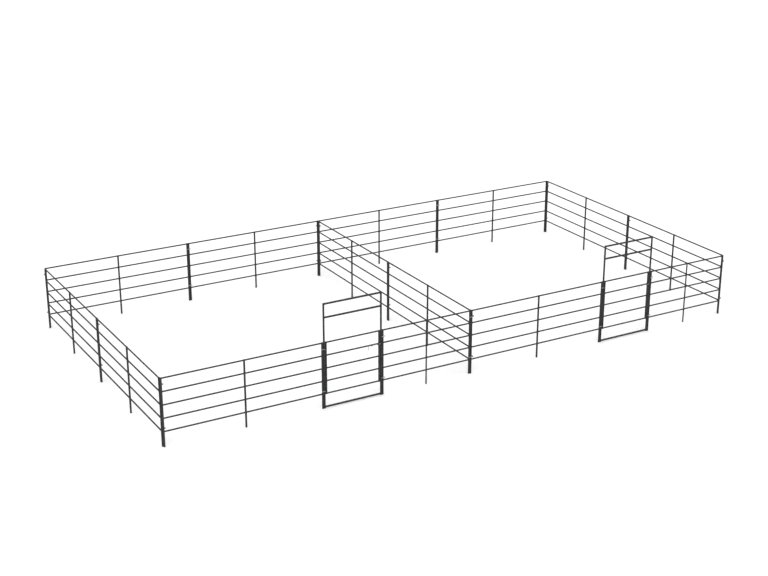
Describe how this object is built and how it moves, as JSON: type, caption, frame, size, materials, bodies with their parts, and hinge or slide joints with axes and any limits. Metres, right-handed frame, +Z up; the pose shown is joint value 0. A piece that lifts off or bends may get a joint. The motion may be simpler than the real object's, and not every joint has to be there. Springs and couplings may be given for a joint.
{
  "type": "livestock stall",
  "caption": "Portable livestock stall block: welded tube panels coupled post to post into pens with a shared divider, each entered through a tall bow frame with a swinging gate.",
  "frame": {"origin": "on the ground, at the middle of the block's outline", "axes": "+X along the rows towards the viewer's right, +Y from the row with the gates to the back row, +Z up"},
  "size_m": [14.7448, 7.4284, 2.396],
  "materials": {
    "charcoal_paint": "baked powder coat, half matt, charcoal grey",
    "zinc_plate": "zinc plating, dull"
  },
  "bodies": {
    "stall": {"panel_front_1": "charcoal_paint", "panel_front_2": "charcoal_paint", "panel_front_3": "charcoal_paint", "panel_front_4": "charcoal_paint", "panel_back_1": "charcoal_paint", "panel_back_2": "charcoal_paint", "panel_back_3": "charcoal_paint", "panel_back_4": "charcoal_paint", "panel_left_1": "charcoal_paint", "panel_left_2": "charcoal_paint", "panel_divider_1": "charcoal_paint", "panel_divider_2": "charcoal_paint", "panel_right_1": "charcoal_paint", "panel_right_2": "charcoal_paint", "bow_left": "charcoal_paint", "bow_right": "charcoal_paint", "hinge_pin_left_lower": "zinc_plate", "hinge_pin_left_upper": "zinc_plate", "hinge_pin_right_lower": "zinc_plate", "hinge_pin_right_upper": "zinc_plate", "link_front_1_lower": "zinc_plate", "link_front_1_upper": "zinc_plate", "link_front_2_lower": "zinc_plate", "link_front_2_upper": "zinc_plate", "link_front_3_lower": "zinc_plate", "link_front_3_upper": "zinc_plate", "link_front_4_lower": "zinc_plate", "link_front_4_upper": "zinc_plate", "link_front_5_lower": "zinc_plate", "link_front_5_upper": "zinc_plate", "link_back_1_lower": "zinc_plate", "link_back_1_upper": "zinc_plate", "link_back_2_lower": "zinc_plate", "link_back_2_upper": "zinc_plate", "link_back_3_lower": "zinc_plate", "link_back_3_upper": "zinc_plate", "link_left_1_lower": "zinc_plate", "link_left_1_upper": "zinc_plate", "link_left_2_lower": "zinc_plate", "link_left_2_upper": "zinc_plate", "link_left_3_lower": "zinc_plate", "link_left_3_upper": "zinc_plate", "link_divider_1_lower": "zinc_plate", "link_divider_1_upper": "zinc_plate", "link_divider_2_lower": "zinc_plate", "link_divider_2_upper": "zinc_plate", "link_divider_3_lower": "zinc_plate", "link_divider_3_upper": "zinc_plate", "link_right_1_lower": "zinc_plate", "link_right_1_upper": "zinc_plate", "link_right_2_lower": "zinc_plate", "link_right_2_upper": "zinc_plate", "link_right_3_lower": "zinc_plate", "link_right_3_upper": "zinc_plate"},
    "gate_left": {"gate_left": "charcoal_paint"},
    "gate_right": {"gate_right": "charcoal_paint"},
    "bolt_left": {"gate_left_bolt": "zinc_plate"},
    "bolt_right": {"gate_right_bolt": "zinc_plate"}
  },
  "joints": [
    {"name": "gate_left_swing", "type": "hinge", "parent": "stall", "child": "gate_left", "pos_m": [-3.63535, -3.6927, 0], "axis": [0, 0, -1], "range_deg": [0, 170]},
    {"name": "gate_right_swing", "type": "hinge", "parent": "stall", "child": "gate_right", "pos_m": [3.67985, -3.6927, 0], "axis": [0, 0, -1], "range_deg": [0, 170]},
    {"name": "bolt_left_slide", "type": "slide", "parent": "gate_left", "child": "bolt_left", "axis": [1, 0, 0], "range_m": [0, 0.05]},
    {"name": "bolt_right_slide", "type": "slide", "parent": "gate_right", "child": "bolt_right", "axis": [1, 0, 0], "range_m": [0, 0.05]}
  ]
}
